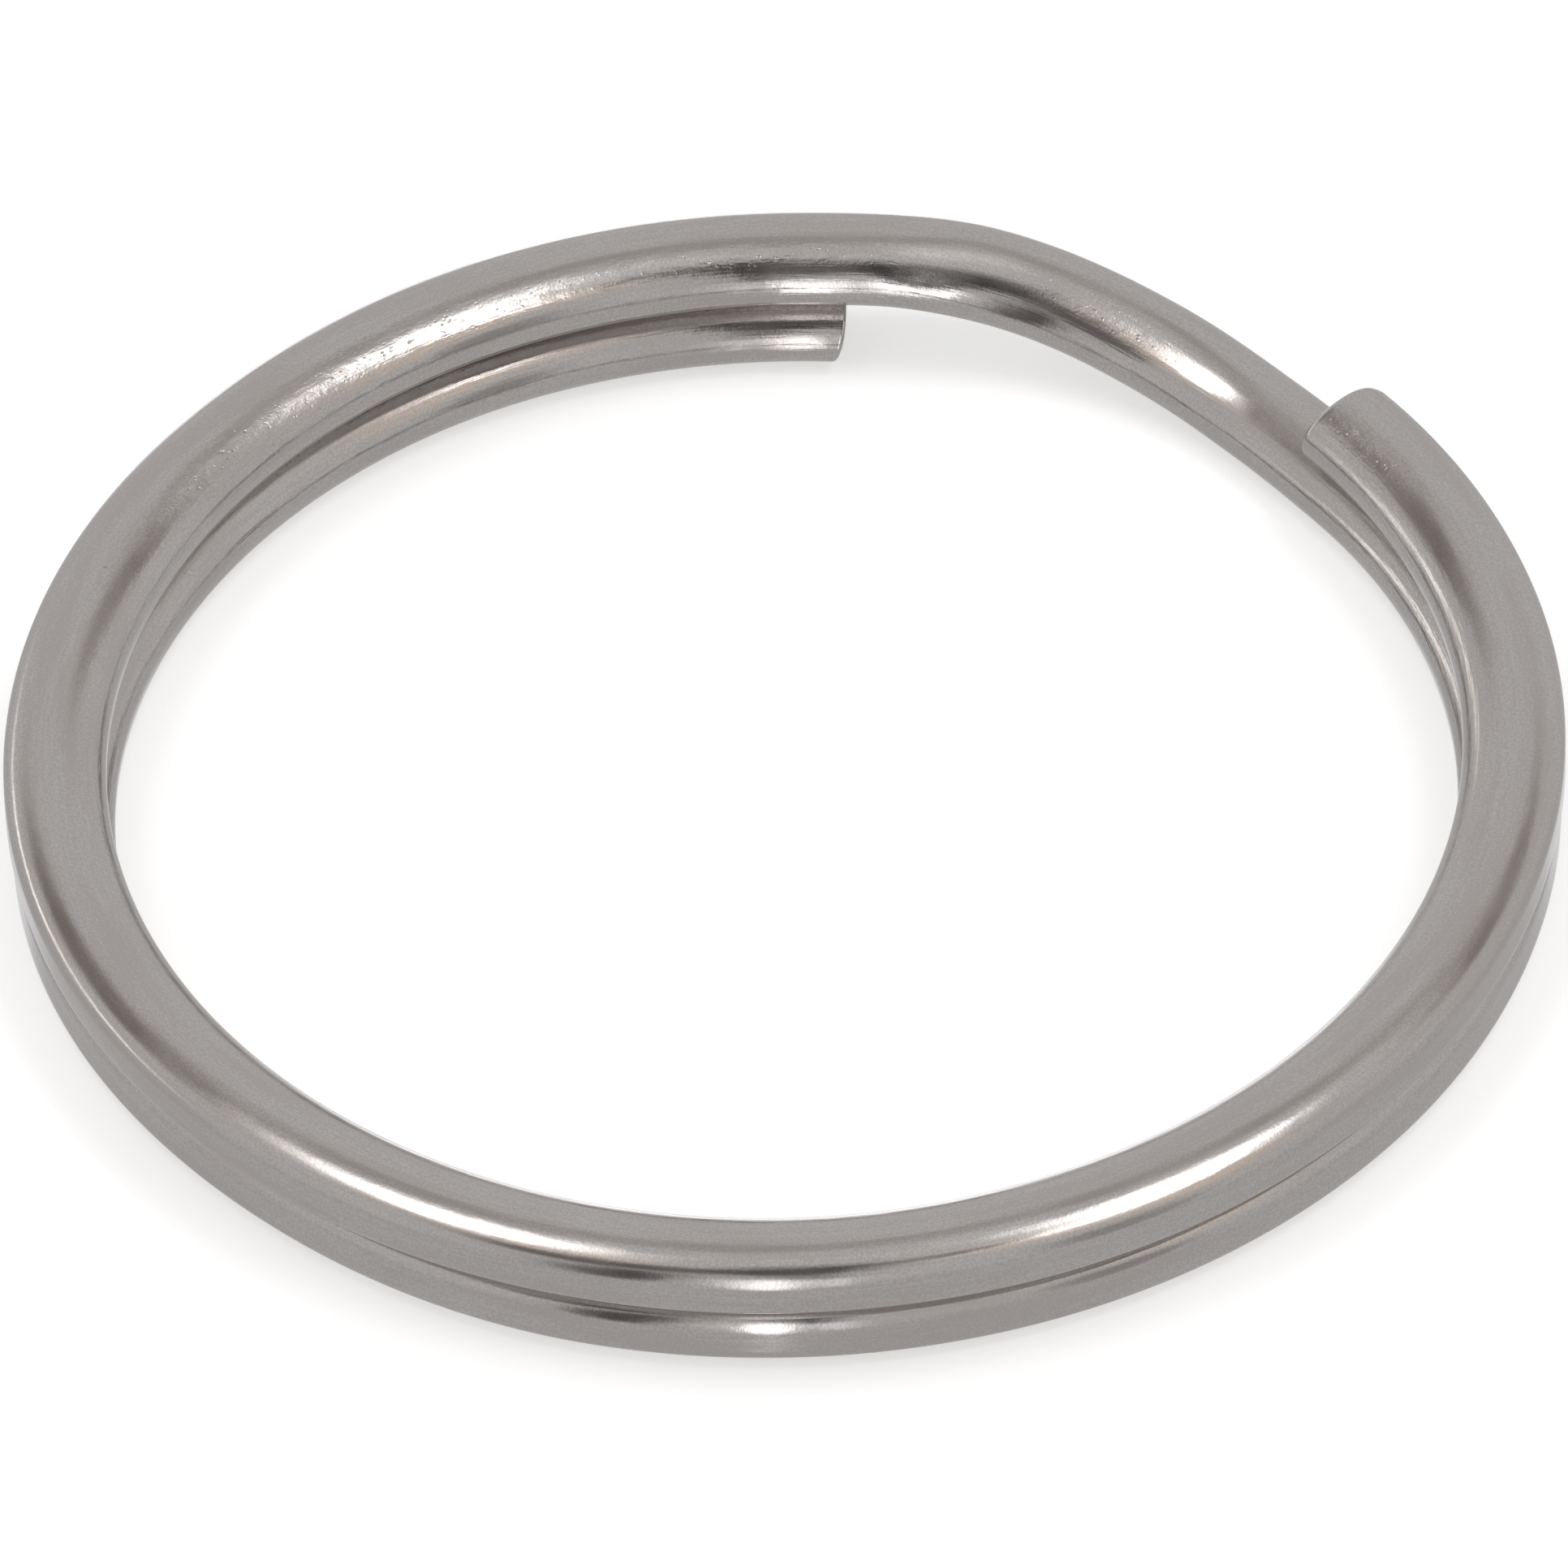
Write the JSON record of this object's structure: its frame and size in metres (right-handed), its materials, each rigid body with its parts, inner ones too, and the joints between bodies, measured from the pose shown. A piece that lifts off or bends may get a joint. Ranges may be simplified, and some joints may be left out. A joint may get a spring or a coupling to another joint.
{
  "type": "split key ring",
  "caption": "Round split key ring of flat-rolled spring wire wound two turns, with a stepped crossover and two sheared ends that pry open",
  "frame": {"origin": "centre of the ring, on the plane it lies on", "axes": "+Z along the ring axis, upper coil on top; the crossover is at the back right, about 60 degrees from +X towards +Y"},
  "size_m": [0.03, 0.03, 0.0026],
  "materials": {
    "wire": "polished nickel plate over drawn steel wire, with fine draw lines, small pits and a slight warm tinge"
  },
  "bodies": {
    "lower_coil_6": {"lower_coil_6": "wire"},
    "crossover": {"upper_coil_6": "wire", "crossover": "wire", "lower_coil_1": "wire"},
    "upper_end": {"upper_end": "wire"},
    "upper_coil_1": {"upper_coil_1": "wire"},
    "upper_coil_2": {"upper_coil_2": "wire"},
    "upper_coil_3": {"upper_coil_3": "wire"},
    "upper_coil_4": {"upper_coil_4": "wire"},
    "upper_coil_5": {"upper_coil_5": "wire"},
    "lower_coil_2": {"lower_coil_2": "wire"},
    "lower_coil_3": {"lower_coil_3": "wire"},
    "lower_coil_4": {"lower_coil_4": "wire"},
    "lower_coil_5": {"lower_coil_5": "wire"},
    "lower_end": {"lower_end": "wire"}
  },
  "joints": [
    {"name": "upper_flex_1", "type": "hinge", "parent": "upper_coil_1", "child": "upper_end", "pos_m": [0.01443, -0.00192, 0.0026], "axis": [0.9661, 0.2582, 0], "range_deg": [0, 0.68]},
    {"name": "upper_flex_2", "type": "hinge", "parent": "upper_coil_2", "child": "upper_coil_1", "pos_m": [0.00884, -0.01157, 0.0026], "axis": [0.9913, -0.1318, 0], "range_deg": [0, 1.24]},
    {"name": "upper_flex_3", "type": "hinge", "parent": "upper_coil_3", "child": "upper_coil_2", "pos_m": [-0.00195, -0.01443, 0.0026], "axis": [0.8651, -0.5016, 0], "range_deg": [0, 1.62]},
    {"name": "upper_pry", "type": "hinge", "parent": "upper_coil_4", "child": "upper_coil_3", "pos_m": [-0.01159, -0.00881, 0.0013], "axis": [0.6048, -0.7964, 0], "range_deg": [0, 1.75], "stiffness_Nm_per_rad": 0.2},
    {"name": "upper_flex_5", "type": "hinge", "parent": "upper_coil_5", "child": "upper_coil_4", "pos_m": [-0.01442, 0.00199, 0.0013], "axis": [-0.1367, -0.9906, 0], "range_deg": [0, 1.49]},
    {"name": "upper_flex_6", "type": "hinge", "parent": "crossover", "child": "upper_coil_5", "pos_m": [-0.00878, 0.01162, 0.0013], "axis": [-0.7979, -0.6028, 0], "range_deg": [0, 0.87]},
    {"name": "lower_flex_1", "type": "hinge", "parent": "lower_coil_6", "child": "lower_end", "pos_m": [-0.00902, 0.01131, 0], "axis": [-0.2804, 0.9599, 0], "range_deg": [0, 0.67]},
    {"name": "lower_flex_2", "type": "hinge", "parent": "lower_coil_6", "child": "lower_coil_5", "pos_m": [-0.01436, 0.00173, 0], "axis": [0.6235, -0.7818, 0], "range_deg": [0, 1.23]},
    {"name": "lower_flex_3", "type": "hinge", "parent": "lower_coil_5", "child": "lower_coil_4", "pos_m": [-0.01144, -0.00885, 0], "axis": [0.8734, -0.487, 0], "range_deg": [0, 1.61]},
    {"name": "lower_pry", "type": "hinge", "parent": "lower_coil_4", "child": "lower_coil_3", "pos_m": [-0.00194, -0.01433, 0], "axis": [0.9928, -0.1194, 0], "range_deg": [0, 1.75], "stiffness_Nm_per_rad": 0.2},
    {"name": "lower_flex_5", "type": "hinge", "parent": "lower_coil_3", "child": "lower_coil_2", "pos_m": [0.00867, -0.01157, 0.0013], "axis": [0.8001, 0.5998, 0], "range_deg": [0, 1.52]},
    {"name": "lower_flex_6", "type": "hinge", "parent": "lower_coil_2", "child": "crossover", "pos_m": [0.0143, -0.00215, 0.0013], "axis": [0.149, 0.9888, 0], "range_deg": [0, 0.92]}
  ],
  "couplings": [
    {"joint": "upper_flex_1", "follows": "upper_pry", "ratio": 0.383},
    {"joint": "upper_flex_2", "follows": "upper_pry", "ratio": 0.708},
    {"joint": "upper_flex_3", "follows": "upper_pry", "ratio": 0.925},
    {"joint": "upper_flex_5", "follows": "upper_pry", "ratio": 0.851},
    {"joint": "upper_flex_6", "follows": "upper_pry", "ratio": 0.496},
    {"joint": "lower_flex_1", "follows": "lower_pry", "ratio": 0.379},
    {"joint": "lower_flex_2", "follows": "lower_pry", "ratio": 0.702},
    {"joint": "lower_flex_3", "follows": "lower_pry", "ratio": 0.92},
    {"joint": "lower_flex_5", "follows": "lower_pry", "ratio": 0.867},
    {"joint": "lower_flex_6", "follows": "lower_pry", "ratio": 0.522}
  ]
}
